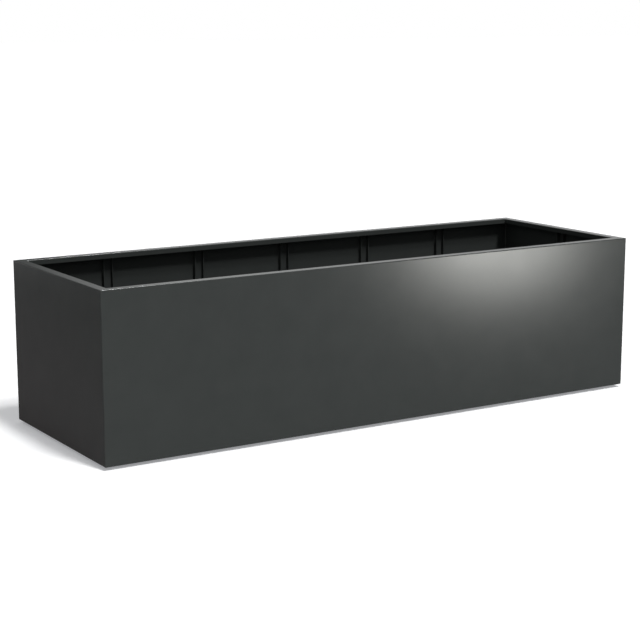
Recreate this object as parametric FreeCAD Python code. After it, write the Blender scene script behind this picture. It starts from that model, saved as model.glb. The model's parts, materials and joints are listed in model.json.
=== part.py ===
import FreeCAD
import Part
import collections
import math
import os

Vector = FreeCAD.Vector
UP = Vector(0, 0, 1)
ORIGIN = Vector(0, 0, 0)
Wall = collections.namedtuple("Wall", "turn run distance stiffeners")

# Overall size in millimetres: the rim's outer outline, and the height of the rim above the floor.
# The origin is on the floor under the middle of the planter, with +X along it and -Y at the front.
LENGTH = 3000.0
DEPTH = 1000.0
HEIGHT = 800.0
REVEAL = 15.0  # shadow gap between the floor and the walls

# Folded wall sheet
SHEET = 3.0
FOLD_RADIUS = 1.5  # inside each fold
RIM_WIDTH = 50.0  # top flange, from the wall's outer face to the lip's inner face
LIP_DEPTH = 25.0  # return lip, from the top of the rim down
LEDGE_WIDTH = 40.0  # bottom flange that the bearers stand on
CORNER_RADIUS = 3.0  # upright corners, welded and ground

# Extruded channel stiffeners on the walls' inner faces, open towards the soil
STIFFENER_WIDTH = 50.0
STIFFENER_DEPTH = 20.0
STIFFENER_WALL = 3.0
LONG_WALL_STIFFENERS = 5
END_WALL_STIFFENERS = 1

# Hat-section bearers, flanges up, across the planter under the base plate
BEARER_WIDTH = 50.0
BEARER_FLANGE = 20.0
BEARER_HEIGHT = 40.0
BEARER_SHEET = 3.0
BEARER_END_GAP = 0.5  # beyond the fold at the foot of the wall
END_BEARER_GAP = 12.0  # from an end wall to the nearest bearer's flange

# Base plate
BASE_SHEET = 3.0
BASE_GAP = 1.0  # to the walls all round
DRAIN_RADIUS = 10.0
DRAIN_OFFSET = 250.0  # from the middle line, two drains in each bay

# Levelling feet in threaded inserts, under every second bearer
FOOT_INSET = 120.0  # from the long walls' outer faces
INSERT_FLANGE_RADIUS = 11.0
INSERT_FLANGE = 1.5
INSERT_BARREL_RADIUS = 8.0
INSERT_WALL = 1.95  # barrel round the bore
INSERT_LENGTH = 15.0  # above the bearer's underside
RUNNING_CLEARANCE = 0.05  # on the radius of what turns in a bore
STUD_HEADROOM = 7.0  # from the stud's tip to the base plate with the foot wound in
STUD_TIP_CHAMFER = 1.0
HEX_ACROSS_FLATS = 19.0
HEX_HEIGHT = 6.0
SPIGOT_RADIUS = 8.0
PAD_RADIUS = 25.0
PAD_EDGE_HEIGHT = 5.0
PAD_COLLAR_RADIUS = 14.0
PAD_FLOOR = 4.0  # nylon under the spigot
PAD_CHAMFER = 1.0
PAD_GAP = 0.5  # between the pad's collar and the hexagon

# Blind rivets
RIVET_RADIUS = 2.4
RIVET_HEAD_RADIUS = 4.8
RIVET_HEAD_HEIGHT = 1.6
RIVET_HEAD_TOP_RADIUS = 2.6
RIVET_TAIL_RADIUS = 3.4
RIVET_TAIL_HEIGHT = 3.0
FASTENER_CLEARANCE = 0.1  # on the radius of a rivet or insert in its hole
BASE_RIVETS_PER_FLANGE = 5
BASE_RIVET_INSET = 60.0  # from the long walls' outer faces
LEDGE_RIVET_SPACING = 30.0  # the pair at each end of a bearer

# Weld beads
STITCH_LEG = 4.0
STITCH_LENGTH = 40.0
STITCHES_PER_SIDE = 4
CORNER_BEAD_LEG = 5.0

# Levels above the floor
LEDGE_TOP = REVEAL + SHEET
BASE_BOTTOM = LEDGE_TOP + BEARER_HEIGHT
BASE_TOP = BASE_BOTTOM + BASE_SHEET
FOLD_BOTTOM = HEIGHT - SHEET - FOLD_RADIUS  # where the wall's inner face starts to fold into the rim
INSERT_FACE = LEDGE_TOP - INSERT_FLANGE
HEX_BOTTOM = INSERT_FACE - HEX_HEIGHT
PAD_TOP = HEX_BOTTOM - PAD_GAP

# The studs' thread fits the inserts
INSERT_BORE_RADIUS = INSERT_BARREL_RADIUS - INSERT_WALL
STUD_RADIUS = INSERT_BORE_RADIUS - RUNNING_CLEARANCE

# Each wall: how far it is turned about Z from the front wall, its length, how far its outer face
# stands from the middle, and its number of stiffeners
WALLS = {
    "front": Wall(0.0, LENGTH, DEPTH / 2, LONG_WALL_STIFFENERS),
    "rear": Wall(180.0, LENGTH, DEPTH / 2, LONG_WALL_STIFFENERS),
    "left_end": Wall(-90.0, DEPTH, LENGTH / 2, END_WALL_STIFFENERS),
    "right_end": Wall(90.0, DEPTH, LENGTH / 2, END_WALL_STIFFENERS),
}


def save(node, shape):
    shape.exportStep("parts/" + node + ".step")


def save_group(node, solids):
    save(node, Part.makeCompound(solids))


def prism(outline, bottom, top):
    """A straight solid with an outline of (x, y) points, from one level up to another."""
    corners = [Vector(x, y, bottom) for x, y in outline]
    face = Part.Face(Part.makePolygon(corners + corners[:1]))
    return face.extrude(UP * (top - bottom))


def turned(outline):
    """A round solid about Z from (radius, level) points."""
    corners = [Vector(radius, 0, level) for radius, level in outline]
    face = Part.Face(Part.makePolygon(corners + corners[:1]))
    return face.revolve(ORIGIN, UP, 360)


def drilled(shape, places, radius, bottom, top):
    """The shape with upright round holes at (x, y) places."""
    holes = [Part.makeCylinder(radius, top - bottom, Vector(x, y, bottom), UP) for x, y in places]
    return shape.cut(Part.makeCompound(holes)).Solids[0]


def moved(shape, x, y):
    copy = shape.copy()
    copy.translate(Vector(x, y, 0))
    return copy


def set_on_wall(shape, wall):
    """Move a shape from a wall's own frame, with x along it and y inwards from its outer face."""
    turn = math.radians(wall.turn)
    outwards = Vector(math.sin(turn), -math.cos(turn), 0)
    copy = shape.copy()
    copy.rotate(ORIGIN, UP, wall.turn)
    copy.translate(outwards * wall.distance)
    return copy


def rounded_edges(points, radii):
    """Lines through the points, with an arc at each square corner between the ends."""
    edges = []
    start = points[0]
    for before, corner, after, radius in zip(points, points[1:], points[2:], radii):
        arriving = (corner - before).normalize()
        leaving = (after - corner).normalize()
        arc_start = corner - arriving * radius
        arc_end = corner + leaving * radius
        centre = arc_start + leaving * radius
        arc_middle = centre + (arriving - leaving).normalize() * radius
        edges.append(Part.LineSegment(start, arc_start).toShape())
        edges.append(Part.Arc(arc_start, arc_middle, arc_end).toShape())
        start = arc_end
    edges.append(Part.LineSegment(start, points[-1]).toShape())
    return edges


def folded_section(points, thickness, fold_radius):
    """The section of a folded sheet in the YZ plane, from the (y, z) corners of one face.

    The sheet lies to the right of the way the points run, and every fold is square.
    """
    near = [Vector(0, y, z) for y, z in points]
    ways = [(end - start).normalize() for start, end in zip(near, near[1:])]
    inwards = [Vector(0, way.z, -way.y) for way in ways]
    far = [near[0] + inwards[0] * thickness]
    near_radii = []
    far_radii = []
    for index in range(1, len(near) - 1):
        far.append(near[index] + (inwards[index - 1] + inwards[index]) * thickness)
        folds_to_the_right = ways[index].dot(inwards[index - 1]) > 0
        near_radii.append(fold_radius + thickness if folds_to_the_right else fold_radius)
        far_radii.append(fold_radius if folds_to_the_right else fold_radius + thickness)
    far.append(near[-1] + inwards[-1] * thickness)
    edges = rounded_edges(near, near_radii) + rounded_edges(far, far_radii)
    edges.append(Part.LineSegment(near[0], far[0]).toShape())
    edges.append(Part.LineSegment(near[-1], far[-1]).toShape())
    return Part.Face(Part.Wire(Part.__sortEdges__(edges)))


def stiffener_places(run, count):
    """Middles of the stiffeners along a wall, with equal clear bays between them."""
    pitch = bay_width(run, count) + STIFFENER_WIDTH
    return [(index - (count - 1) / 2) * pitch for index in range(count)]


def bay_width(run, count):
    return (run - 2 * SHEET - count * STIFFENER_WIDTH) / (count + 1)


def bearer_places():
    """Bearers line up with the long walls' stiffeners, with one more near each end."""
    half_width = BEARER_WIDTH / 2 + BEARER_FLANGE
    end = LENGTH / 2 - SHEET - END_BEARER_GAP - half_width
    return [-end] + stiffener_places(LENGTH, LONG_WALL_STIFFENERS) + [end]


def foot_places():
    foot_row = DEPTH / 2 - FOOT_INSET
    return [(x, y) for x in bearer_places()[::2] for y in (-foot_row, foot_row)]


def base_rivet_places():
    end_row = DEPTH / 2 - BASE_RIVET_INSET
    step = 2 * end_row / (BASE_RIVETS_PER_FLANGE - 1)
    rows = [index * step - end_row for index in range(BASE_RIVETS_PER_FLANGE)]
    flange_middle = (BEARER_WIDTH + BEARER_FLANGE) / 2
    columns = [x + side * flange_middle for x in bearer_places() for side in (-1, 1)]
    return [(x, y) for x in columns for y in rows]


def ledge_rivet_places():
    row = DEPTH / 2 - (SHEET + LEDGE_WIDTH) / 2
    half_spacing = LEDGE_RIVET_SPACING / 2
    columns = [x + side * half_spacing for x in bearer_places() for side in (-1, 1)]
    return [(x, y) for x in columns for y in (-row, row)]


def drain_places():
    bays = LONG_WALL_STIFFENERS + 1
    pitch = bay_width(LENGTH, LONG_WALL_STIFFENERS) + STIFFENER_WIDTH
    columns = [(index - (bays - 1) / 2) * pitch for index in range(bays)]
    return [(x, y) for x in columns for y in (-DRAIN_OFFSET, DRAIN_OFFSET)]


def wall_panel(run):
    """One folded wall in its own frame, mitred at both ends, with its upright corners rounded."""
    section = folded_section(
        [
            (LEDGE_WIDTH, REVEAL),
            (0, REVEAL),
            (0, HEIGHT),
            (RIM_WIDTH, HEIGHT),
            (RIM_WIDTH, HEIGHT - LIP_DEPTH),
        ],
        SHEET,
        FOLD_RADIUS,
    )
    section.translate(Vector(-run / 2, 0, 0))
    folded = section.extrude(Vector(run, 0, 0))

    # In plan the corner's arc runs from the outer face to the mitre, which it meets squarely
    mitre = math.pi / 4
    arc_turns = (0, mitre / 2, mitre)
    right_points = [
        Vector(run / 2 - CORNER_RADIUS * (1 - math.sin(turn)), CORNER_RADIUS * (1 - math.cos(turn)), 0)
        for turn in arc_turns
    ]
    left_points = [Vector(-point.x, point.y, 0) for point in reversed(right_points)]
    right_arc = Part.Arc(*right_points)
    left_arc = Part.Arc(*left_points)
    reach = max(RIM_WIDTH, LEDGE_WIDTH)
    right_inner = Vector(run / 2 - reach, reach, 0)
    left_inner = Vector(reach - run / 2, reach, 0)
    outline = [
        left_arc.toShape(),
        Part.LineSegment(left_arc.EndPoint, right_arc.StartPoint).toShape(),
        right_arc.toShape(),
        Part.LineSegment(right_arc.EndPoint, right_inner).toShape(),
        Part.LineSegment(right_inner, left_inner).toShape(),
        Part.LineSegment(left_inner, left_arc.StartPoint).toShape(),
    ]
    plan = Part.Face(Part.Wire(outline)).extrude(UP * HEIGHT)
    return folded.common(plan).Solids[0]


def make_panels():
    for name, wall in WALLS.items():
        panel = set_on_wall(wall_panel(wall.run), wall)
        if name in ("front", "rear"):
            side = -1 if name == "front" else 1
            holes = [(x, y) for x, y in ledge_rivet_places() if y * side > 0]
            panel = drilled(panel, holes, RIVET_RADIUS + FASTENER_CLEARANCE, REVEAL, LEDGE_TOP)
        save(name + "_panel", panel)


def channel():
    """A stiffener in the frame of its wall, with its web on the wall's inner face."""
    half = STIFFENER_WIDTH / 2
    inner_half = half - STIFFENER_WALL
    web = SHEET + STIFFENER_WALL
    tip = SHEET + STIFFENER_DEPTH
    outline = [
        (-half, SHEET),
        (half, SHEET),
        (half, tip),
        (inner_half, tip),
        (inner_half, web),
        (-inner_half, web),
        (-inner_half, tip),
        (-half, tip),
    ]
    return prism(outline, BASE_TOP, FOLD_BOTTOM)


def stitches():
    """The weld beads beside one stiffener, in the frame of its wall."""
    bay = (FOLD_BOTTOM - BASE_TOP) / STITCHES_PER_SIDE
    beads = []
    for side in (-1, 1):
        root = side * STIFFENER_WIDTH / 2
        outline = [(root, SHEET), (root + side * STITCH_LEG, SHEET), (root, SHEET + STITCH_LEG)]
        for index in range(STITCHES_PER_SIDE):
            bottom = BASE_TOP + (index + 0.5) * bay - STITCH_LENGTH / 2
            beads.append(prism(outline, bottom, bottom + STITCH_LENGTH))
    return beads


def make_stiffeners():
    beads = []
    for name, wall in WALLS.items():
        # The rear wall is turned round, so its places run back to face the front wall's
        direction = -1 if name == "rear" else 1
        for index, place in enumerate(stiffener_places(wall.run, wall.stiffeners)):
            along = direction * place
            number = "_" + str(index + 1) if wall.stiffeners > 1 else ""
            save(name + "_stiffener" + number, set_on_wall(moved(channel(), along, 0), wall))
            beads += [set_on_wall(moved(bead, along, 0), wall) for bead in stitches()]
    save_group("stiffener_welds", beads)


def make_corner_welds():
    beads = []
    for x_side in (-1, 1):
        for y_side in (-1, 1):
            x = x_side * (LENGTH / 2 - SHEET)
            y = y_side * (DEPTH / 2 - SHEET)
            outline = [(x, y), (x - x_side * CORNER_BEAD_LEG, y), (x, y - y_side * CORNER_BEAD_LEG)]
            beads.append(prism(outline, BASE_TOP, FOLD_BOTTOM))
    save_group("corner_welds", beads)


def make_base_plate():
    half_length = LENGTH / 2 - SHEET - BASE_GAP
    half_depth = DEPTH / 2 - SHEET - BASE_GAP
    outline = [
        (-half_length, -half_depth),
        (half_length, -half_depth),
        (half_length, half_depth),
        (-half_length, half_depth),
    ]
    plate = prism(outline, BASE_BOTTOM, BASE_TOP)
    plate = drilled(plate, drain_places(), DRAIN_RADIUS, BASE_BOTTOM, BASE_TOP)
    rivet_hole = RIVET_RADIUS + FASTENER_CLEARANCE
    save("base_plate", drilled(plate, base_rivet_places(), rivet_hole, BASE_BOTTOM, BASE_TOP))


def make_bearers():
    inner_half = BEARER_WIDTH / 2 - BEARER_SHEET
    flange_end = BEARER_WIDTH / 2 + BEARER_FLANGE
    web_top = LEDGE_TOP + BEARER_SHEET
    section = folded_section(
        [
            (-flange_end, BASE_BOTTOM),
            (-inner_half, BASE_BOTTOM),
            (-inner_half, web_top),
            (inner_half, web_top),
            (inner_half, BASE_BOTTOM),
            (flange_end, BASE_BOTTOM),
        ],
        BEARER_SHEET,
        FOLD_RADIUS,
    )
    half_run = DEPTH / 2 - SHEET - FOLD_RADIUS - BEARER_END_GAP
    section.translate(Vector(-half_run, 0, 0))
    plain = section.extrude(Vector(2 * half_run, 0, 0))
    plain.rotate(ORIGIN, UP, 90)

    rivet_hole = RIVET_RADIUS + FASTENER_CLEARANCE
    insert_hole = INSERT_BARREL_RADIUS + FASTENER_CLEARANCE
    for index, x in enumerate(bearer_places()):
        bearer = moved(plain, x, 0)
        flange_holes = [place for place in base_rivet_places() if abs(place[0] - x) < flange_end]
        bearer = drilled(bearer, flange_holes, rivet_hole, BASE_BOTTOM - BEARER_SHEET, BASE_BOTTOM)
        web_holes = [place for place in ledge_rivet_places() if abs(place[0] - x) < flange_end]
        bearer = drilled(bearer, web_holes, rivet_hole, LEDGE_TOP, web_top)
        foot_holes = [place for place in foot_places() if abs(place[0] - x) < flange_end]
        if foot_holes:
            bearer = drilled(bearer, foot_holes, insert_hole, LEDGE_TOP, web_top)
        save("bearer_" + str(index + 1), bearer)


def rivet(grip):
    """A set blind rivet with its head's seat at level zero and the sheets below it."""
    return turned(
        [
            (0, RIVET_HEAD_HEIGHT),
            (RIVET_HEAD_TOP_RADIUS, RIVET_HEAD_HEIGHT),
            (RIVET_HEAD_RADIUS, 0),
            (RIVET_RADIUS, 0),
            (RIVET_RADIUS, -grip),
            (RIVET_TAIL_RADIUS, -grip),
            (RIVET_TAIL_RADIUS, -grip - RIVET_TAIL_HEIGHT / 2),
            (RIVET_RADIUS, -grip - RIVET_TAIL_HEIGHT),
            (0, -grip - RIVET_TAIL_HEIGHT),
        ]
    )


def make_rivets():
    base_rivet = rivet(BASE_SHEET + BEARER_SHEET)
    base_rivet.translate(UP * BASE_TOP)
    save_group("base_rivets", [moved(base_rivet, x, y) for x, y in base_rivet_places()])

    # These are set from below, through the ledge into the bearer
    ledge_rivet = rivet(SHEET + BEARER_SHEET)
    ledge_rivet.rotate(ORIGIN, Vector(1, 0, 0), 180)
    ledge_rivet.translate(UP * REVEAL)
    save_group("bearer_rivets", [moved(ledge_rivet, x, y) for x, y in ledge_rivet_places()])


def threaded_insert():
    barrel_top = LEDGE_TOP + INSERT_LENGTH
    return turned(
        [
            (INSERT_BORE_RADIUS, INSERT_FACE),
            (INSERT_FLANGE_RADIUS, INSERT_FACE),
            (INSERT_FLANGE_RADIUS, LEDGE_TOP),
            (INSERT_BARREL_RADIUS, LEDGE_TOP),
            (INSERT_BARREL_RADIUS, barrel_top),
            (INSERT_BORE_RADIUS, barrel_top),
        ]
    )


def foot_stud():
    """Spigot, hexagon and threaded shank in one piece, wound in until the hexagon meets the insert."""
    tip = BASE_BOTTOM - STUD_HEADROOM
    spigot = Part.makeCylinder(SPIGOT_RADIUS, HEX_BOTTOM - PAD_FLOOR, Vector(0, 0, PAD_FLOOR), UP)
    corner_radius = HEX_ACROSS_FLATS / 2 / math.cos(math.radians(30))
    corners = [math.radians(60 * index) for index in range(6)]
    outline = [(corner_radius * math.cos(turn), corner_radius * math.sin(turn)) for turn in corners]
    hexagon = prism(outline, HEX_BOTTOM, INSERT_FACE)
    shank = turned(
        [
            (0, INSERT_FACE),
            (STUD_RADIUS, INSERT_FACE),
            (STUD_RADIUS, tip - STUD_TIP_CHAMFER),
            (STUD_RADIUS - STUD_TIP_CHAMFER, tip),
            (0, tip),
        ]
    )
    return spigot.fuse([hexagon, shank]).removeSplitter().Solids[0]


def foot_pad():
    socket = SPIGOT_RADIUS + RUNNING_CLEARANCE
    return turned(
        [
            (0, 0),
            (PAD_RADIUS - PAD_CHAMFER, 0),
            (PAD_RADIUS, PAD_CHAMFER),
            (PAD_RADIUS, PAD_EDGE_HEIGHT),
            (PAD_COLLAR_RADIUS, PAD_TOP),
            (socket, PAD_TOP),
            (socket, PAD_FLOOR),
            (0, PAD_FLOOR),
        ]
    )


def make_feet():
    save_group("threaded_inserts", [moved(threaded_insert(), x, y) for x, y in foot_places()])
    for index, (x, y) in enumerate(foot_places()):
        save("foot_pad_" + str(index + 1), moved(foot_pad(), x, y))
        save("foot_stud_" + str(index + 1), moved(foot_stud(), x, y))


os.makedirs("parts", exist_ok=True)
make_panels()
make_stiffeners()
make_corner_welds()
make_base_plate()
make_bearers()
make_rivets()
make_feet()
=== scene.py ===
import json
import math

import bmesh
import bpy
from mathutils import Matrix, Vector


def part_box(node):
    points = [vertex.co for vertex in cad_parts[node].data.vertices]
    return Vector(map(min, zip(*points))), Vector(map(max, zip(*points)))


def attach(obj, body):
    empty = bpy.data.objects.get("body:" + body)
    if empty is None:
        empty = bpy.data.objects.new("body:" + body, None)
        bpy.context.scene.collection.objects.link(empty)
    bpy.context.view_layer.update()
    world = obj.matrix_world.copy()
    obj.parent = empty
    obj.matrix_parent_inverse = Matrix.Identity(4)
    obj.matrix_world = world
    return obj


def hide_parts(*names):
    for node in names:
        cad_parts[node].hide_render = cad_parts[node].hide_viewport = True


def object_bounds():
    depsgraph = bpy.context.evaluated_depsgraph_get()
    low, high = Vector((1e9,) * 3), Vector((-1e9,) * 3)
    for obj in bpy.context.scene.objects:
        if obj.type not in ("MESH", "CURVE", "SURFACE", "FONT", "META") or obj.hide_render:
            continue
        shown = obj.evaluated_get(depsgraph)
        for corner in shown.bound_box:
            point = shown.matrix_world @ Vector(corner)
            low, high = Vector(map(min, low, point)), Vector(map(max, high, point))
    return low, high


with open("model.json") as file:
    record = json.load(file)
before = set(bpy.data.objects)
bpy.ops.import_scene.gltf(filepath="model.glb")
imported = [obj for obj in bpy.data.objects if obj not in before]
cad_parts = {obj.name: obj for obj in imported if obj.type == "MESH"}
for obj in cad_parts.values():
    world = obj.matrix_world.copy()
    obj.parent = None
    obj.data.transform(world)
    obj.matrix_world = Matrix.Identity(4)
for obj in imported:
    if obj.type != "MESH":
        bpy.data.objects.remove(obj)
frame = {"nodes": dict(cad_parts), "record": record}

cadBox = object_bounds()
nodes = frame["nodes"]
mm = 0.001
hair = 0.01 * mm  # closer than this is the same place
sliver = 0.01 * hair  # a cut goes through the corners that are closer to it than this
sharpAngle = 30.0  # degrees; an edge that turns more stays sharp
mostly = 0.9  # share of a normal that counts as along an axis
hardly = 0.1  # share of a normal that counts as across it


def deselectAll():
    if bpy.context.mode != "OBJECT":
        bpy.ops.object.mode_set(mode="OBJECT")
    bpy.ops.object.select_all(action="DESELECT")


def startEdit(piece):
    deselectAll()
    piece.select_set(True)
    bpy.context.view_layer.objects.active = piece
    bpy.ops.object.mode_set(mode="EDIT")
    bpy.ops.mesh.select_mode(type="VERT")
    bpy.ops.mesh.select_all(action="SELECT")


def sliceMesh(place, normal, **keep):
    # Cut all of the mesh along a plane
    bpy.ops.mesh.select_all(action="SELECT")
    bpy.ops.mesh.bisect(plane_co=place, plane_no=normal, threshold=sliver, **keep)


def pick(piece, kind, test):
    # Select the vertices, edges or faces that pass a test, and nothing else
    bpy.ops.mesh.select_mode(type=kind)
    bpy.ops.mesh.select_all(action="DESELECT")
    mesh = bmesh.from_edit_mesh(piece.data)
    for part in {"VERT": mesh.verts, "EDGE": mesh.edges, "FACE": mesh.faces}[kind]:
        if test(part):
            part.select_set(True)
    mesh.select_flush_mode()
    bmesh.update_edit_mesh(piece.data)


def middleOf(part):
    return sum((vertex.co for vertex in part.verts), Vector()) / len(part.verts)


def mergeAndFace():
    # One vertex in each place, and every face turned outwards
    bpy.ops.mesh.select_all(action="SELECT")
    bpy.ops.mesh.remove_doubles(threshold=hair)
    bpy.ops.mesh.normals_make_consistent(inside=False)


def roundEdges(radius, steps):
    bpy.ops.mesh.bevel(offset=radius, segments=steps, profile=0.5, clamp_overlap=False)


def endEdit(piece, smoothAngle=sharpAngle):
    mergeAndFace()
    bpy.ops.object.mode_set(mode="OBJECT")
    bpy.ops.object.shade_smooth_by_angle(angle=math.radians(smoothAngle))


def applyModifiers(piece):
    deselectAll()
    piece.select_set(True)
    bpy.context.view_layer.objects.active = piece
    for modifier in list(piece.modifiers):
        bpy.ops.object.modifier_apply(modifier=modifier.name)


def fromMillimetres(outline):
    return [(radius * mm, level * mm) for radius, level in outline]


def facetOf(point, sides):
    # Number of the facet round the Z axis that a point lies on
    return int((math.atan2(point.y, point.x) % math.tau) / math.tau * sides)


def addTurned(name, outline, sides, hollow=False):
    # A circle, then one extrusion and one scaling for each next (radius, level); left in edit mode
    deselectAll()
    radius, level = outline[0]
    fill = "NOTHING" if hollow else "NGON"
    bpy.ops.mesh.primitive_circle_add(vertices=sides, radius=radius, location=(0, 0, level), fill_type=fill)
    piece = bpy.context.object
    piece.name = name
    bpy.ops.object.transform_apply(location=True, rotation=True, scale=True)
    startEdit(piece)
    for nextRadius, nextLevel in outline[1:]:
        rise = {"value": (0, 0, nextLevel - level)}
        if hollow:
            bpy.ops.mesh.extrude_edges_move(TRANSFORM_OT_translate=rise)
        else:
            bpy.ops.mesh.extrude_region_move(TRANSFORM_OT_translate=rise)
        growth = nextRadius / radius
        bpy.ops.transform.resize(value=(growth, growth, 1), center_override=(0, 0, nextLevel))
        radius, level = nextRadius, nextLevel
    return piece


def copyTo(master, name, place, turn=(0, 0, 0)):
    copy = master.copy()
    copy.data = master.data.copy()
    copy.name = name
    bpy.context.collection.objects.link(copy)
    copy.location = place
    copy.rotation_euler = turn
    deselectAll()
    copy.select_set(True)
    bpy.context.view_layer.objects.active = copy
    bpy.ops.object.transform_apply(location=True, rotation=True, scale=True)
    return copy


def joinAll(pieces, name):
    deselectAll()
    for piece in pieces:
        piece.select_set(True)
    bpy.context.view_layer.objects.active = pieces[0]
    bpy.ops.object.join()
    pieces[0].name = name
    return pieces[0]


def combine(piece, other, operation):
    cutter = piece.modifiers.new("combine", "BOOLEAN")
    cutter.operation = operation
    cutter.object = other
    cutter.solver = "EXACT"
    applyModifiers(piece)
    bpy.data.objects.remove(other)


def dress(piece, material, slot, body, *replaced):
    piece.data.materials.clear()
    piece.data.materials.append(material)
    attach(piece, body)
    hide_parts(*replaced)


deselectAll()


# Camera at the height, heading and lens of the picture
pictureCamera = {
    "place": (-4.2939, -6.6994, 1.9825),
    "tilt": 78.9974,  # degrees up from straight down
    "heading": -32.1657,  # degrees about Z, 0 looks along +Y
    "lens": 90.22,
    "sensor": 36.0,
    "clipEnd": 500.0,  # past the far edge of the floor
}


def addCamera(spec):
    turn = (math.radians(spec["tilt"]), 0.0, math.radians(spec["heading"]))
    bpy.ops.object.camera_add(location=spec["place"], rotation=turn)
    camera = bpy.context.object
    camera.name = "pictureCamera"
    camera.data.lens = spec["lens"]
    camera.data.sensor_fit = "HORIZONTAL"
    camera.data.sensor_width = spec["sensor"]
    camera.data.clip_end = spec["clipEnd"]
    bpy.context.scene.camera = camera


# A tall key of two sources from high in front, a card for the gleam on the front panel, one for the glint on
# the folds at the left, and a dim world
studioLight = {
    "keyElevations": (57.5, 66.5),  # degrees above the floor
    "keySwing": 12.0,  # degrees to the right of straight in front
    "keyAngle": 8.0,  # how broad each source looks
    "keyStrength": 1.31,
    "keyDistance": 8.0,  # of its marker, because only its direction counts
    "gleamPlace": (2.844, -3.40, 0.444),
    "gleamAim": (0.751, -0.5, 0.817),
    "gleamSize": (1.067, 0.813),
    "gleamPower": 8.9,
    "gleamSpread": 37.3,  # degrees of its beam
    "gleamColour": (1.0, 1.0, 0.955),
    "glintPlace": (1.34, 3.55, 5.75),
    "glintAim": (-1.4, -0.2, 0.8),
    "glintSize": (0.5, 0.5),
    "glintPower": 450.0,
    "glintSpread": 180.0,
    "glintColour": (1.0, 1.0, 1.0),
    "world": 0.315,
    "background": 1.0,
}


def lookAlong(direction):
    return Vector(direction).to_track_quat("-Z", "Y").to_euler()


def addSun(name, elevation, spec):
    rise = math.radians(elevation)
    turn = math.radians(spec["keySwing"])
    travel = Vector((-math.sin(turn) * math.cos(rise), math.cos(turn) * math.cos(rise), -math.sin(rise)))
    bpy.ops.object.light_add(type="SUN", location=-spec["keyDistance"] * travel, rotation=lookAlong(travel))
    sun = bpy.context.object
    sun.name = name
    sun.data.angle = math.radians(spec["keyAngle"])
    sun.data.energy = spec["keyStrength"]


def addSoftbox(name, place, aim, size, power):
    bpy.ops.object.light_add(type="AREA", location=place, rotation=lookAlong(aim))
    box = bpy.context.object
    box.name = name
    box.data.shape = "ELLIPSE"
    box.data.size, box.data.size_y = size
    box.data.energy = power
    box.visible_camera = False
    return box


def addLights(spec):
    for elevation in spec["keyElevations"]:
        addSun("keyLight", elevation, spec)
    for name in ("gleam", "glint"):
        place, aim = Vector(spec[name + "Place"]), Vector(spec[name + "Aim"])
        card = addSoftbox(name + "Card", place, aim - place, spec[name + "Size"], spec[name + "Power"])
        card.data.spread = math.radians(spec[name + "Spread"])
        card.data.color = spec[name + "Colour"]
        card.visible_diffuse = False  # only its reflection is wanted


def addNode(tree, kind, place=(0, 0), **values):
    node = tree.nodes.new(kind)
    node.location = place
    for name, value in values.items():
        setattr(node, name, value)
    return node


def seenDirectly(tree):
    # 1 on camera, mirror and glass rays, 0 on the rays that carry soft light
    path = addNode(tree, "ShaderNodeLightPath", (-900, 300))
    first = addNode(tree, "ShaderNodeMath", (-700, 300), operation="MAXIMUM")
    both = addNode(tree, "ShaderNodeMath", (-500, 300), operation="MAXIMUM")
    tree.links.new(path.outputs["Is Camera Ray"], first.inputs[0])
    tree.links.new(path.outputs["Is Glossy Ray"], first.inputs[1])
    tree.links.new(first.outputs[0], both.inputs[0])
    tree.links.new(path.outputs["Is Transmission Ray"], both.inputs[1])
    return both.outputs[0]


def addWorld(spec):
    world = bpy.data.worlds.new("studio")
    world.use_nodes = True
    bpy.context.scene.world = world
    tree = world.node_tree
    tree.nodes.clear()
    fill = addNode(tree, "ShaderNodeBackground", (-300, 100))
    fill.inputs["Strength"].default_value = spec["world"]
    fill.inputs["Color"].default_value = (1, 1, 1, 1)
    white = addNode(tree, "ShaderNodeBackground", (-300, -100))
    white.inputs["Strength"].default_value = spec["background"]
    white.inputs["Color"].default_value = (1, 1, 1, 1)
    mix = addNode(tree, "ShaderNodeMixShader", (0, 0))
    out = addNode(tree, "ShaderNodeOutputWorld", (200, 0))
    tree.links.new(seenDirectly(tree), mix.inputs[0])
    tree.links.new(fill.outputs[0], mix.inputs[1])
    tree.links.new(white.outputs[0], mix.inputs[2])
    tree.links.new(mix.outputs[0], out.inputs["Surface"])


# Pale floor: what the eye sees of it is lifted to white, and its shadow stays
paleFloor = {
    "span": 160.0,
    "albedo": 0.9,
    "seenAlbedo": 0.825,
    "seenLift": 0.3,
    "liftTint": (0.95, 0.965, 1.0, 1),  # its shadow is faintly blue
}


def addFloor(spec):
    bpy.ops.mesh.primitive_plane_add(size=spec["span"], location=(0, 0, 0))
    floor = bpy.context.object
    floor.name = "paleFloor"
    material = bpy.data.materials.new("paleFloor")
    material.use_nodes = True
    tree = material.node_tree
    tree.nodes.clear()
    plain = addNode(tree, "ShaderNodeBsdfDiffuse", (-300, 200))
    plain.inputs["Color"].default_value = (spec["albedo"],) * 3 + (1,)
    seen = addNode(tree, "ShaderNodeBsdfDiffuse", (-500, 0))
    seen.inputs["Color"].default_value = (spec["seenAlbedo"],) * 3 + (1,)
    lift = addNode(tree, "ShaderNodeEmission", (-500, -150))
    lift.inputs["Strength"].default_value = spec["seenLift"]
    lift.inputs["Color"].default_value = spec["liftTint"]
    lifted = addNode(tree, "ShaderNodeAddShader", (-300, -50))
    mix = addNode(tree, "ShaderNodeMixShader", (0, 0))
    out = addNode(tree, "ShaderNodeOutputMaterial", (200, 0))
    tree.links.new(seen.outputs[0], lifted.inputs[0])
    tree.links.new(lift.outputs[0], lifted.inputs[1])
    tree.links.new(seenDirectly(tree), mix.inputs[0])
    tree.links.new(plain.outputs[0], mix.inputs[1])
    tree.links.new(lifted.outputs[0], mix.inputs[2])
    tree.links.new(mix.outputs[0], out.inputs["Surface"])
    floor.data.materials.append(material)


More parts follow.
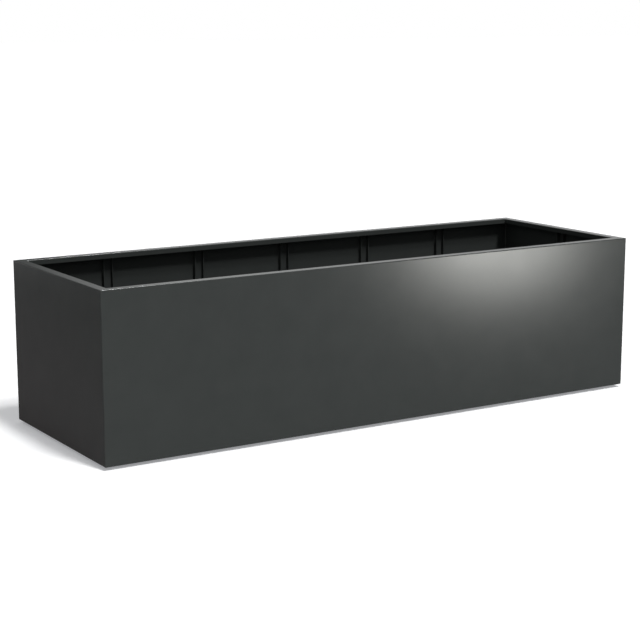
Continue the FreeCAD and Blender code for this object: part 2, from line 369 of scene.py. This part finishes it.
# Dim flags round the left and back of the sweep, which only show in the coat's reflections
flags = {
    "wallPlace": 3.2,  # y of the upright flags
    "wallLevels": (0.75, 5.0),
    "wallFade": (-0.36, 0.66),  # x between which the dim end turns into the pale one
    "wallGlow": (0.10, 0.88),
    "paleLevels": (0.75, 1.36),
    "floorEdge": -1.51,
    "floorFront": -1.5,
    "floorBack": 6.0,
    "floorLevel": 0.002,
    "floorFade": (-3.4, -2.2),  # x between which the floor flag brightens towards the planter
    "floorGlow": (0.05, 0.2),
    "floorTint": (1.13, 0.91, 0.97, 1),
    "reach": 6.0,  # how far they go to the left and right
}


def addFlag(name, corners, glow, fade, tint=(1, 1, 1, 1)):
    deselectAll()
    bpy.ops.mesh.primitive_plane_add(size=1.0)
    flag = bpy.context.object
    flag.name = name
    for vertex, corner in zip(flag.data.vertices, corners):
        vertex.co = corner
    material = bpy.data.materials.new(name)
    material.use_nodes = True
    tree = material.node_tree
    tree.nodes.clear()
    place = addNode(tree, "ShaderNodeTexCoord", (-800, 0))
    apart = addNode(tree, "ShaderNodeSeparateXYZ", (-600, 0))
    ramp = addNode(tree, "ShaderNodeMapRange", (-400, 0))
    ramp.inputs["From Min"].default_value, ramp.inputs["From Max"].default_value = fade
    ramp.inputs["To Min"].default_value, ramp.inputs["To Max"].default_value = glow
    light = addNode(tree, "ShaderNodeEmission", (-200, 0))
    light.inputs["Color"].default_value = tint
    out = addNode(tree, "ShaderNodeOutputMaterial", (0, 0))
    tree.links.new(place.outputs["Object"], apart.inputs[0])
    tree.links.new(apart.outputs["X"], ramp.inputs["Value"])
    tree.links.new(ramp.outputs["Result"], light.inputs["Strength"])
    tree.links.new(light.outputs[0], out.inputs["Surface"])
    flag.data.materials.append(material)
    flag.visible_camera = False
    flag.visible_diffuse = False
    flag.visible_shadow = False
    flag.visible_transmission = False


def addUpright(name, left, right, levels, spec):
    back = spec["wallPlace"]
    corners = [(x, back, z) for z in levels for x in (left, right)]
    addFlag(name, corners, spec["wallGlow"], spec["wallFade"])


def addFlags(spec):
    dim, pale = spec["wallFade"]
    addUpright("wallFlag", dim - spec["reach"], pale, spec["wallLevels"], spec)
    addUpright("paleFlag", pale, pale + spec["reach"], spec["paleLevels"], spec)
    columns = (spec["floorEdge"] - spec["reach"], spec["floorEdge"])
    rows = (spec["floorFront"], spec["floorBack"])
    corners = [(x, y, spec["floorLevel"]) for y in rows for x in columns]
    addFlag("floorFlag", corners, spec["floorGlow"], spec["floorFade"], spec["floorTint"])


addCamera(pictureCamera)
addLights(studioLight)
addWorld(studioLight)
addFloor(paleFloor)
addFlags(flags)
print("stage: camera, lights, backdrop, floor and flags")


def linkAll(tree, *pairs):
    for output, target in pairs:
        tree.links.new(output, target)


def startMaterial(name):
    material = bpy.data.materials.new(name)
    material.use_nodes = True
    tree = material.node_tree
    tree.nodes.clear()
    shader = addNode(tree, "ShaderNodeBsdfPrincipled", (0, 0))
    out = addNode(tree, "ShaderNodeOutputMaterial", (300, 0))
    tree.links.new(shader.outputs["BSDF"], out.inputs["Surface"])
    return material, tree, shader


# Two noises that every finish uses: broad clouds and fine grain
def makeGrainGroup():
    tree = bpy.data.node_groups.new("finishGrain", "ShaderNodeTree")
    tree.interface.new_socket("Place", in_out="INPUT", socket_type="NodeSocketVector")
    for name in ("Cloud Scale", "Grain Scale", "Grain Share"):
        tree.interface.new_socket(name, in_out="INPUT", socket_type="NodeSocketFloat")
    for name in ("Clouds", "Grain", "Tone"):
        tree.interface.new_socket(name, in_out="OUTPUT", socket_type="NodeSocketFloat")
    given = addNode(tree, "NodeGroupInput", (-600, 0))
    clouds = addNode(tree, "ShaderNodeTexNoise", (-300, 200))
    clouds.inputs["Detail"].default_value = 3.0
    grain = addNode(tree, "ShaderNodeTexNoise", (-300, -100))
    grain.inputs["Detail"].default_value = 2.0
    tone = addNode(tree, "ShaderNodeMix", (0, 100), data_type="FLOAT")
    result = addNode(tree, "NodeGroupOutput", (250, 0))
    linkAll(
        tree,
        (given.outputs["Place"], clouds.inputs["Vector"]),
        (given.outputs["Place"], grain.inputs["Vector"]),
        (given.outputs["Cloud Scale"], clouds.inputs["Scale"]),
        (given.outputs["Grain Scale"], grain.inputs["Scale"]),
        (given.outputs["Grain Share"], tone.inputs[0]),
        (clouds.outputs["Fac"], tone.inputs[2]),
        (grain.outputs["Fac"], tone.inputs[3]),
        (clouds.outputs["Fac"], result.inputs["Clouds"]),
        (grain.outputs["Fac"], result.inputs["Grain"]),
        (tone.outputs[0], result.inputs["Tone"]),
    )
    return tree


grainGroup = makeGrainGroup()
noiseRange = (0.3, 0.7)  # nearly all values of a noise lie in it


def makeFinish(name, spec):
    material, tree, shader = startMaterial(name)
    place = addNode(tree, "ShaderNodeTexCoord", (-1300, 0))
    stretch = addNode(tree, "ShaderNodeMapping", (-1100, 0))
    stretch.inputs["Scale"].default_value = spec["stretch"]
    grain = addNode(tree, "ShaderNodeGroup", (-850, 0), node_tree=grainGroup)
    grain.inputs["Cloud Scale"].default_value = spec["cloudScale"]
    grain.inputs["Grain Scale"].default_value = spec["grainScale"]
    grain.inputs["Grain Share"].default_value = spec["grainShare"]
    colour = addNode(tree, "ShaderNodeMix", (-400, 200), data_type="RGBA")
    colour.inputs[6].default_value = tuple(spec["dark"]) + (1,)
    colour.inputs[7].default_value = tuple(spec["light"]) + (1,)
    spread = addNode(tree, "ShaderNodeMapRange", (-600, 200))
    spread.inputs["From Min"].default_value, spread.inputs["From Max"].default_value = noiseRange
    rough = addNode(tree, "ShaderNodeMapRange", (-400, -50))
    rough.inputs["From Min"].default_value, rough.inputs["From Max"].default_value = noiseRange
    rough.inputs["To Min"].default_value, rough.inputs["To Max"].default_value = spec["roughness"]
    bump = addNode(tree, "ShaderNodeBump", (-400, -300))
    bump.inputs["Strength"].default_value = 1.0
    bump.inputs["Distance"].default_value = spec["bump"]
    linkAll(
        tree,
        (place.outputs["Object"], stretch.inputs["Vector"]),
        (stretch.outputs["Vector"], grain.inputs["Place"]),
        (grain.outputs["Tone"], spread.inputs["Value"]),
        (spread.outputs["Result"], colour.inputs[0]),
        (colour.outputs[2], shader.inputs["Base Color"]),
        (grain.outputs["Clouds"], rough.inputs["Value"]),
        (rough.outputs["Result"], shader.inputs["Roughness"]),
        (grain.outputs["Grain"], bump.inputs["Height"]),
        (bump.outputs["Normal"], shader.inputs["Normal"]),
    )
    shader.inputs["Metallic"].default_value = spec["metallic"]
    shader.inputs["Specular IOR Level"].default_value = spec["specular"]
    return material


# Satin powder coat, near black with a hint of green, with a faint orange peel
powderCoat = {
    "dark": (0.0373, 0.0411, 0.0398),
    "light": (0.0414, 0.0456, 0.0441),
    "stretch": (1, 1, 1),
    "cloudScale": 9.0,
    "grainScale": 420.0,
    "grainShare": 0.35,
    "roughness": (0.238, 0.257),
    "bump": 0.006 * mm,
    "metallic": 0.0,
    "specular": 0.08,
}

# Bare aluminium of the blind rivets
rivetMetal = {
    "dark": (0.50, 0.50, 0.51),
    "light": (0.68, 0.68, 0.69),
    "stretch": (1, 1, 1),
    "cloudScale": 160.0,
    "grainScale": 1900.0,
    "grainShare": 0.5,
    "roughness": (0.30, 0.44),
    "bump": 0.012 * mm,
    "metallic": 1.0,
    "specular": 0.5,
}

# Zinc-plated steel of the inserts, faintly yellow in its clouds
zincPlate = {
    "dark": (0.44, 0.44, 0.43),
    "light": (0.62, 0.60, 0.54),
    "stretch": (1, 1, 1),
    "cloudScale": 130.0,
    "grainScale": 1500.0,
    "grainShare": 0.3,
    "roughness": (0.28, 0.42),
    "bump": 0.01 * mm,
    "metallic": 1.0,
    "specular": 0.5,
}

# Stainless studs, turned, so their grain runs round them
turnedSteel = {
    "dark": (0.47, 0.46, 0.45),
    "light": (0.63, 0.62, 0.61),
    "stretch": (0.12, 0.12, 1),
    "cloudScale": 220.0,
    "grainScale": 2600.0,
    "grainShare": 0.55,
    "roughness": (0.22, 0.36),
    "bump": 0.008 * mm,
    "metallic": 1.0,
    "specular": 0.5,
}

# Black nylon with a spark-eroded grain
blackNylon = {
    "dark": (0.013, 0.013, 0.0135),
    "light": (0.026, 0.026, 0.0265),
    "stretch": (1, 1, 1),
    "cloudScale": 70.0,
    "grainScale": 1300.0,
    "grainShare": 0.6,
    "roughness": (0.46, 0.60),
    "bump": 0.04 * mm,
    "metallic": 0.0,
    "specular": 0.4,
}

coat = makeFinish("powderCoat", powderCoat)
rivetFinish = makeFinish("rivetAluminium", rivetMetal)
zincFinish = makeFinish("zincPlate", zincPlate)
steelFinish = makeFinish("turnedSteel", turnedSteel)
nylonFinish = makeFinish("blackNylon", blackNylon)
finishes = {
    "powder_coat": coat,
    "rivet_aluminium": rivetFinish,
    "zinc_steel": zincFinish,
    "stainless_steel": steelFinish,
    "nylon": nylonFinish,
}
for part in frame["record"]["subparts"]:
    for slot in nodes[part["node"]].material_slots:
        slot.material = finishes[part["material_slot"]]
print("finishes: powder coat, rivet aluminium, zinc plate, turned steel, nylon")


# Blind rivets: domed head with its pulled mandrel, shank, and the bulb that the mandrel leaves
blindRivet = {
    "sides": 12,
    "grip": 6.0 * mm,
    "perFlange": 5,
    "endInset": 60.0 * mm,  # from the long walls to the first rivet of a flange
    "flangeMiddle": 35.0 * mm,  # from the middle of a bearer
    "ledgeHalfSpacing": 15.0 * mm,
    "ledgeMiddle": 21.5 * mm,  # from the long walls
    # Radius and level in mm, the head's from the upper face of the sheets, the tail's from their lower face
    "head": [
        (4.8, 0), (4.75, 0.3), (4.1, 0.95), (3.0, 1.4), (1.75, 1.6), (1.2, 1.52), (1.1, 0.95), (0.6, 1.1),
    ],
    "tail": [(1.7, -3.0), (2.7, -2.7), (3.4, -1.5), (3.2, -0.3), (2.4, 0)],
    "shank": 2.4 * mm,
    "smoothAngle": 50.0,
}


def bearerColumns():
    bearers = [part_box(name) for name in sorted(nodes) if name.startswith("bearer_") and "rivet" not in name]
    return [(low.x + high.x) / 2 for low, high in bearers]


def ledgePlaces(spec):
    row = cadBox[1][1] - spec["ledgeMiddle"]
    columns = [column + side * spec["ledgeHalfSpacing"] for column in bearerColumns() for side in (-1, 1)]
    return [(x, y) for x in columns for y in (-row, row)]


def basePlaces(spec):
    endRow = cadBox[1][1] - spec["endInset"]
    rows = [endRow * (2 * step / (spec["perFlange"] - 1) - 1) for step in range(spec["perFlange"])]
    columns = [column + side * spec["flangeMiddle"] for column in bearerColumns() for side in (-1, 1)]
    return [(x, y) for x in columns for y in rows]


# Folded walls: one skin is drawn round the planter, folded, thickened and cut into four along the mitres
foldedWall = {
    "sheet": 3.0 * mm,
    "rimWidth": 50.0 * mm,
    "lipDepth": 25.0 * mm,
    "ledgeWidth": 40.0 * mm,
    "foldRadius": 4.5 * mm,  # outside
    "foldSteps": 8,
    "edgeRadius": 0.7 * mm,  # cut edges under the coat
    "edgeSteps": 2,
    "cornerRadius": 3.0 * mm,  # upright corners, welded and ground
    "cornerSteps": 7,
    "rivetHole": 2.5 * mm,
    "holeSides": 16,
}


def alongWall(edge):
    way = edge.verts[1].co - edge.verts[0].co
    return abs(way.z) < hair and min(abs(way.x), abs(way.y)) < hair


def addWallSkin(spec):
    halfLength, halfDepth, top = cadBox[1]
    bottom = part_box("front_panel")[0].z
    deselectAll()
    bpy.ops.mesh.primitive_plane_add(size=2, location=(0, 0, top))
    skin = bpy.context.object
    skin.name = "wallSkin"
    bpy.ops.transform.resize(value=(halfLength, halfDepth, 1))
    bpy.ops.object.transform_apply(location=True, rotation=True, scale=True)
    startEdit(skin)
    bpy.ops.mesh.inset(thickness=spec["rimWidth"], depth=0)
    bpy.ops.mesh.delete(type="FACE")
    inner = halfDepth - spec["rimWidth"] + hair
    pick(skin, "EDGE", lambda edge: edge.is_boundary and abs(middleOf(edge).y) < inner
         and abs(middleOf(edge).x) < halfLength - spec["rimWidth"] + hair)
    bpy.ops.mesh.extrude_edges_move(TRANSFORM_OT_translate={"value": (0, 0, -spec["lipDepth"])})
    pick(skin, "EDGE", lambda edge: edge.is_boundary and middleOf(edge).z > top - hair)
    bpy.ops.mesh.extrude_edges_move(TRANSFORM_OT_translate={"value": (0, 0, bottom - top)})
    bpy.ops.mesh.extrude_edges_move()
    drawnIn = (1 - spec["ledgeWidth"] / halfLength, 1 - spec["ledgeWidth"] / halfDepth, 1)
    bpy.ops.transform.resize(value=drawnIn, center_override=(0, 0, bottom))
    bpy.ops.mesh.select_all(action="SELECT")
    bpy.ops.mesh.normals_make_consistent(inside=False)
    pick(skin, "EDGE", lambda edge: alongWall(edge) and not edge.is_boundary)
    roundEdges(spec["foldRadius"], spec["foldSteps"])
    mesh = bmesh.from_edit_mesh(skin.data)
    rim = max(mesh.faces, key=lambda face: face.calc_area() * (middleOf(face).z > top - hair))
    if rim.normal.z < 0:
        bpy.ops.mesh.select_all(action="SELECT")
        bpy.ops.mesh.flip_normals()
    bpy.ops.object.mode_set(mode="OBJECT")
    gauge = skin.modifiers.new("gauge", "SOLIDIFY")
    gauge.thickness = spec["sheet"]
    gauge.offset = -1
    gauge.use_even_offset = True
    applyModifiers(skin)

    # Cut edges of the lips and ledges
    startEdit(skin)
    lipEnd = top - spec["lipDepth"]
    ledgeEnd = halfDepth - spec["ledgeWidth"]

    def onCutEdge(edge):
        if not alongWall(edge):
            return False
        point = middleOf(edge)
        onLip = abs(point.z - lipEnd) < hair
        onLedge = point.z < bottom + spec["sheet"] + hair and (
            abs(abs(point.y) - ledgeEnd) < hair or abs(abs(point.x) - halfLength + spec["ledgeWidth"]) < hair)
        return onLip or onLedge

    pick(skin, "EDGE", onCutEdge)
    roundEdges(spec["edgeRadius"], spec["edgeSteps"])

    # Upright corners, ground round flat by flat
    radius = spec["cornerRadius"]
    for xSide in (-1, 1):
        for ySide in (-1, 1):
            for step in range(1, spec["cornerSteps"]):
                turn = math.pi / 2 * step / spec["cornerSteps"]
                outwards = Vector((xSide * math.cos(turn), ySide * math.sin(turn), 0))
                centre = Vector((xSide * (halfLength - radius), ySide * (halfDepth - radius), 0))
                sliceMesh(centre + radius * outwards, outwards, clear_outer=True, use_fill=True)
    endEdit(skin)
    return skin


def cutPanel(skin, name, outwards):
    # Keep the part of the skin on one side of the two mitres
    halfLength, halfDepth = cadBox[1][:2]
    panel = copyTo(skin, name, (0, 0, 0))
    startEdit(panel)
    for side in (-1, 1):
        across = Vector((-outwards.y, outwards.x, 0)) * side
        place = Vector(((outwards.x + across.x) * halfLength, (outwards.y + across.y) * halfDepth, 0))
        sliceMesh(place, outwards - across, clear_inner=True, use_fill=True)
    sliceMesh((0, 0, 0), outwards, clear_inner=True)
    endEdit(panel)
    return panel


def drillLedge(panel, places, spec):
    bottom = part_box("front_panel")[0].z
    outline = [(spec["rivetHole"], bottom - spec["sheet"]), (spec["rivetHole"], bottom + 2 * spec["sheet"])]
    drill = addTurned("drill", outline, spec["holeSides"])
    endEdit(drill)
    drills = [copyTo(drill, "drill", (x, y, 0)) for x, y in places]
    bpy.data.objects.remove(drill)
    combine(panel, joinAll(drills, "drills"), "DIFFERENCE")


def evenNormals(panel):
    # The large flats keep their own normals, and the folds turn smoothly between them
    weighted = panel.modifiers.new("evenNormals", "WEIGHTED_NORMAL")
    weighted.mode = "FACE_AREA"
    weighted.weight = 100  # as strongly as it goes
    weighted.keep_sharp = True
    applyModifiers(panel)


def addPanels(spec):
    skin = addWallSkin(spec)
    walls = {
        "frontPanel": ("front_panel", Vector((0, -1, 0))),
        "rearPanel": ("rear_panel", Vector((0, 1, 0))),
        "leftEndPanel": ("left_end_panel", Vector((-1, 0, 0))),
        "rightEndPanel": ("right_end_panel", Vector((1, 0, 0))),
    }
    for name, (node, outwards) in walls.items():
        panel = cutPanel(skin, name, outwards)
        holes = [place for place in ledgePlaces(blindRivet) if place[1] * outwards.y > 0]
        if holes:
            drillLedge(panel, holes, spec)
        evenNormals(panel)
        dress(panel, coat, "powder_coat", "planter", node)
    bpy.data.objects.remove(skin)
    print("walls:", ", ".join(walls))


addPanels(foldedWall)


# Fillet welds: one ripple, arrayed along the run, with its ends drawn in
weldBead = {
    "stitchLeg": 4.0 * mm,
    "stitchLength": 40.0 * mm,
    "stitchRipples": 11,
    "stitchesPerSide": 4,
    "cornerLeg": 5.0 * mm,
    "cornerRipples": 190,
    "toe": 0.96,  # share of the leg that the rounded face takes up
    "faceSteps": 4,
    "faceProfile": 0.36,
    "middleDepth": 0.36,  # share of the leg inside which the middle of the face lies
    "toeDepth": 0.1,  # share of the leg that counts as toe
    "crest": 0.62,  # where along a ripple it stands highest
    "swell": 1.10,
    "crescent": 0.45,  # how far the middle of a ripple runs ahead of its sides
    "taper": 1.2 * mm,
    "endShare": 0.45,
    "smoothAngle": 35.0,
}


def addBead(name, leg, length, ripples, spec):
    # The root lies on the Z axis, with the legs along +X and +Y
    pitch = (length - 2 * spec["taper"]) / (ripples + spec["crescent"])
    base = spec["taper"]
    deselectAll()
    middle = (leg / 2, leg / 2, base + pitch / 2)
    bpy.ops.mesh.primitive_cube_add(size=1, location=middle, scale=(leg, leg, pitch))
    bead = bpy.context.object
    bead.name = name
    bpy.ops.object.transform_apply(location=True, rotation=True, scale=True)
    startEdit(bead)
    pick(bead, "EDGE", lambda edge: min(middleOf(edge).xy) > leg - hair)
    bpy.ops.mesh.bevel(
        offset=spec["toe"] * leg, segments=spec["faceSteps"], profile=spec["faceProfile"], clamp_overlap=False
    )
    pick(bead, "FACE", lambda face: abs(face.normal.z) > mostly)
    bpy.ops.mesh.delete(type="ONLY_FACE")
    crest = base + spec["crest"] * pitch
    sliceMesh((0, 0, crest), (0, 0, 1))
    toe = spec["toeDepth"] * leg
    pick(bead, "VERT", lambda vertex: abs(vertex.co.z - crest) < hair and min(vertex.co.xy) > toe)
    bpy.ops.transform.resize(value=(spec["swell"], spec["swell"], 1), center_override=(0, 0, crest))
    # Middle of the face first, then all of it but the toes
    for depth in (spec["middleDepth"], spec["toeDepth"]):
        pick(bead, "VERT", lambda vertex: min(vertex.co.xy) > depth * leg)
        bpy.ops.transform.translate(value=(0, 0, spec["crescent"] * pitch / 2))
    bpy.ops.object.mode_set(mode="OBJECT")
    row = bead.modifiers.new("row", "ARRAY")
    row.count = ripples
    row.use_relative_offset = False
    row.use_constant_offset = True
    row.constant_offset_displace = (0, 0, pitch)
    row.use_merge_vertices = True
    row.merge_threshold = hair
    applyModifiers(bead)
    startEdit(bead)
    for low in (True, False):
        level = 0 if low else length
        pick(bead, "EDGE", lambda edge: edge.is_boundary and (middleOf(edge).z < length / 2) == low)
        bpy.ops.mesh.extrude_edges_move()
        share = spec["endShare"]
        bpy.ops.transform.resize(value=(share, share, 0), center_override=(0, 0, level))
        bpy.ops.mesh.edge_face_add()
    endEdit(bead, spec["smoothAngle"])
    return bead


def stitchRoots():
    # (x, y, turn) of each line of stitches, beside every stiffener
    roots = []
    for name in nodes:
        if "stiffener" not in name or "weld" in name:
            continue
        low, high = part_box(name)
        if name.startswith("front"):
            roots += [(high.x, low.y, 0), (low.x, low.y, 90)]
        elif name.startswith("rear"):
            roots += [(low.x, high.y, 180), (high.x, high.y, 270)]
        elif name.startswith("left"):
            roots += [(low.x, high.y, 0), (low.x, low.y, 270)]
        else:
            roots += [(high.x, high.y, 90), (high.x, low.y, 180)]
    return roots


def addWelds(spec):
    low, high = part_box("front_stiffener_1")
    bay = (high.z - low.z) / spec["stitchesPerSide"]
    stitch = addBead("stitch", spec["stitchLeg"], spec["stitchLength"], spec["stitchRipples"], spec)
    stitches = []
    for x, y, turn in stitchRoots():
        for step in range(spec["stitchesPerSide"]):
            level = low.z + (step + 0.5) * bay - spec["stitchLength"] / 2
            stitches.append(copyTo(stitch, "stitch", (x, y, level), (0, 0, math.radians(turn))))
    bpy.data.objects.remove(stitch)
    dress(joinAll(stitches, "stiffenerWelds"), coat, "powder_coat", "planter", "stiffener_welds")

    low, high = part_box("corner_welds")
    bead = addBead("bead", spec["cornerLeg"], high.z - low.z, spec["cornerRipples"], spec)
    corners = [(low.x, low.y, 0), (high.x, low.y, 90), (high.x, high.y, 180), (low.x, high.y, 270)]
    beads = [copyTo(bead, "bead", (x, y, low.z), (0, 0, math.radians(turn))) for x, y, turn in corners]
    bpy.data.objects.remove(bead)
    dress(joinAll(beads, "cornerWelds"), coat, "powder_coat", "planter", "corner_welds")
    print("welds:", len(stitches), "stitches and", len(beads), "corner beads")


addWelds(weldBead)


def addRivets(spec):
    outline = [(radius, level - spec["grip"]) for radius, level in fromMillimetres(spec["tail"])]
    outline += [(spec["shank"], 0)]
    outline += fromMillimetres(spec["head"])
    rivet = addTurned("rivet", outline, spec["sides"])
    endEdit(rivet, spec["smoothAngle"])

    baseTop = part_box("base_plate")[1].z
    onBase = [copyTo(rivet, "rivet", (x, y, baseTop)) for x, y in basePlaces(spec)]
    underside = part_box("front_panel")[0].z
    underLedge = [copyTo(rivet, "rivet", (x, y, underside), (math.pi, 0, 0)) for x, y in ledgePlaces(spec)]
    bpy.data.objects.remove(rivet)
    dress(joinAll(onBase, "baseRivets"), rivetFinish, "rivet_aluminium", "planter", "base_rivets")
    dress(joinAll(underLedge, "bearerRivets"), rivetFinish, "rivet_aluminium", "planter", "bearer_rivets")
    print("rivets:", len(onBase), "in the base and", len(underLedge), "under the ledges")


addRivets(blindRivet)


# Levelling feet: nylon pad, stainless stud with a real thread, zinc-plated insert
levellingFoot = {
    "sides": 48,
    "smoothAngle": 32.0,  # of the pad and the insert
    # Outlines are radius and level in mm
    "padOutline": [
        (16.2, 0.7), (17.0, 0), (24.0, 0), (24.7, 0.3), (25.0, 1.0), (25.0, 4.3), (24.7, 4.85),
        (24.0, 5.3), (15.4, 9.3), (14.6, 9.75), (13.6, 10.0), (8.7, 10.0), (8.05, 9.4), (8.05, 4.0),
    ],
    "ribs": 8,
    "pocketFacets": 5,  # between two ribs, which are one facet wide
    "pocketEdge": 0.5 * mm,
    "pocketDepth": 0.9 * mm,
    "pocketRadii": (16.0 * mm, 23.0 * mm),  # the pad's slope, where the pockets are
    "pocketLevel": 5.0 * mm,
    "hexAcrossFlats": 19.0 * mm,
    "hexLevels": (10.5 * mm, 16.5 * mm),
    "hexChamfer": 1.3 * mm,
    "hexSlope": 2.0,  # how far the chamfer goes outwards for its height
    "hexInset": 0.3 * mm,  # from the flats to the round end faces
    "spigotOutline": [(7.4, 4.05), (8.0, 4.7), (8.0, 10.9)],
    "pitch": 1.75 * mm,
    "crestRadius": 5.98 * mm,
    "rootRadius": 5.03 * mm,
    "threadLevels": (16.2 * mm, 51.0 * mm),
    # Root, flank, crest and flank: way across the thread's depth, and share of the pitch
    "threadSection": [(0, 0.25), (1, 0.3125), (0, 0.125), (-1, 0.3125)],
    "spareTurns": 2,  # cut off again at each end
    "stepsPerTurn": 24,
    "tipChamfer": 1.1 * mm,
    "insertOutline": [
        (6.5, 16.5), (10.5, 16.5), (11.0, 17.0), (11.0, 17.7), (10.7, 18.0), (8.0, 18.0), (8.0, 21.2),
        (9.9, 21.5), (10.2, 22.2), (9.3, 23.2), (8.0, 24.2), (8.0, 32.6), (7.6, 33.0), (6.5, 33.0),
        (6.05, 32.5), (6.05, 17.0), (6.5, 16.5),
    ],
    "knurlDepth": 0.25 * mm,
    "knurlLevel": 25.0 * mm,  # the knurl is above this, on the outside of the barrel
    "knurlRadius": 7.9 * mm,
}


def addPad(spec):
    pad = addTurned("pad", fromMillimetres(spec["padOutline"]), spec["sides"])
    bpy.ops.mesh.select_all(action="SELECT")
    bpy.ops.mesh.normals_make_consistent(inside=False)
    perRib = spec["sides"] // spec["ribs"]
    inner, outer = spec["pocketRadii"]

    def inPocket(face):
        middle = middleOf(face)
        onSlope = inner < middle.xy.length < outer and middle.z > spec["pocketLevel"]
        return onSlope and facetOf(middle, spec["sides"]) % perRib < spec["pocketFacets"]

    pick(pad, "FACE", inPocket)
    bpy.ops.mesh.inset(thickness=spec["pocketEdge"], depth=-spec["pocketDepth"])
    endEdit(pad, spec["smoothAngle"])
    return pad


def addThread(spec):
    # One pitch of the thread's section, drawn point by point and screwed upwards
    pitch = spec["pitch"]
    root, crest = spec["rootRadius"], spec["crestRadius"]
    low, high = spec["threadLevels"]
    deselectAll()
    bpy.ops.mesh.primitive_plane_add(size=pitch)
    thread = bpy.context.object
    thread.name = "thread"
    startEdit(thread)
    bpy.ops.mesh.merge(type="CENTER")
    bpy.ops.transform.translate(value=(root, 0, low - spec["spareTurns"] * pitch))
    for way, rise in spec["threadSection"]:
        move = (way * (crest - root), 0, rise * pitch)
        bpy.ops.mesh.extrude_vertices_move(TRANSFORM_OT_translate={"value": move})
    bpy.ops.object.mode_set(mode="OBJECT")
    screw = thread.modifiers.new("screw", "SCREW")
    screw.axis = "Z"
    screw.screw_offset = pitch
    screw.iterations = math.ceil((high - low) / pitch) + 2 * spec["spareTurns"]
    screw.steps = spec["stepsPerTurn"]
    screw.render_steps = spec["stepsPerTurn"]
    applyModifiers(thread)
    startEdit(thread)
    mergeAndFace()
    sliceMesh((0, 0, low), (0, 0, 1), clear_inner=True, use_fill=True)
    sliceMesh((0, 0, high), (0, 0, 1), clear_outer=True, use_fill=True)
    # The tip's chamfer, cut flat by flat
    edge = crest - spec["tipChamfer"]
    for step in range(spec["stepsPerTurn"]):
        turn = math.tau * step / spec["stepsPerTurn"]
        place = (edge * math.cos(turn), edge * math.sin(turn), high)
        outwards = (math.cos(turn), math.sin(turn), 1)
        sliceMesh(place, outwards, clear_outer=True, use_fill=True)
    endEdit(thread)
    return thread


def addStud(spec):
    low, high = spec["hexLevels"]
    halfSide = math.pi / 6  # half of the turn that each of the six flats takes up
    cornerRadius = spec["hexAcrossFlats"] / 2 / math.cos(halfSide)
    middle = (0, 0, (low + high) / 2)
    deselectAll()
    bpy.ops.mesh.primitive_cylinder_add(
        vertices=6, radius=cornerRadius, depth=high - low, location=middle, rotation=(0, 0, halfSide)
    )
    stud = bpy.context.object
    stud.name = "stud"
    bpy.ops.object.transform_apply(location=True, rotation=True, scale=True)
    # A bar that is coned at both ends rounds off the hexagon's corners
    cone = spec["hexChamfer"]
    flat = spec["hexAcrossFlats"] / 2 - spec["hexInset"]
    wide = flat + spec["hexSlope"] * cone
    outline = [(flat, low), (wide, low + cone), (wide, high - cone), (flat, high)]
    bar = addTurned("bar", outline, spec["sides"])
    endEdit(bar)
    combine(stud, bar, "INTERSECT")
    spigot = addTurned("spigot", fromMillimetres(spec["spigotOutline"]), spec["sides"])
    endEdit(spigot)
    combine(stud, spigot, "UNION")
    combine(stud, addThread(spec), "UNION")
    startEdit(stud)
    endEdit(stud)
    return stud


def addInsert(spec):
    insert = addTurned("insert", fromMillimetres(spec["insertOutline"]), spec["sides"], hollow=True)
    mergeAndFace()

    def knurled(face):
        middle = middleOf(face)
        onBarrel = middle.z > spec["knurlLevel"] and middle.xy.length > spec["knurlRadius"]
        return onBarrel and abs(face.normal.z) < hardly and facetOf(middle, spec["sides"]) % 2 == 0

    pick(insert, "FACE", knurled)
    bpy.ops.mesh.inset(thickness=spec["knurlDepth"], depth=-spec["knurlDepth"])
    endEdit(insert, spec["smoothAngle"])
    return insert


def addFeet(spec):
    pad = addPad(spec)
    stud = addStud(spec)
    insert = addInsert(spec)
    inserts = []
    count = sum(name.startswith("foot_pad_") for name in nodes)
    for number in range(1, count + 1):
        low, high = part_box("foot_pad_%d" % number)
        place = ((low.x + high.x) / 2, (low.y + high.y) / 2, 0)
        footPad = copyTo(pad, "footPad%d" % number, place)
        dress(footPad, nylonFinish, "nylon", "pad_%d" % number, "foot_pad_%d" % number)
        footStud = copyTo(stud, "footStud%d" % number, place)
        dress(footStud, steelFinish, "stainless_steel", "stud_%d" % number, "foot_stud_%d" % number)
        inserts.append(copyTo(insert, "insert", place))
    for master in (pad, stud, insert):
        bpy.data.objects.remove(master)
    dress(joinAll(inserts, "threadedInserts"), zincFinish, "zinc_steel", "planter", "threaded_inserts")
    print("feet:", count, "pads, studs and inserts")


addFeet(levellingFoot)

scene = bpy.context.scene
scene.view_settings.view_transform = "Standard"
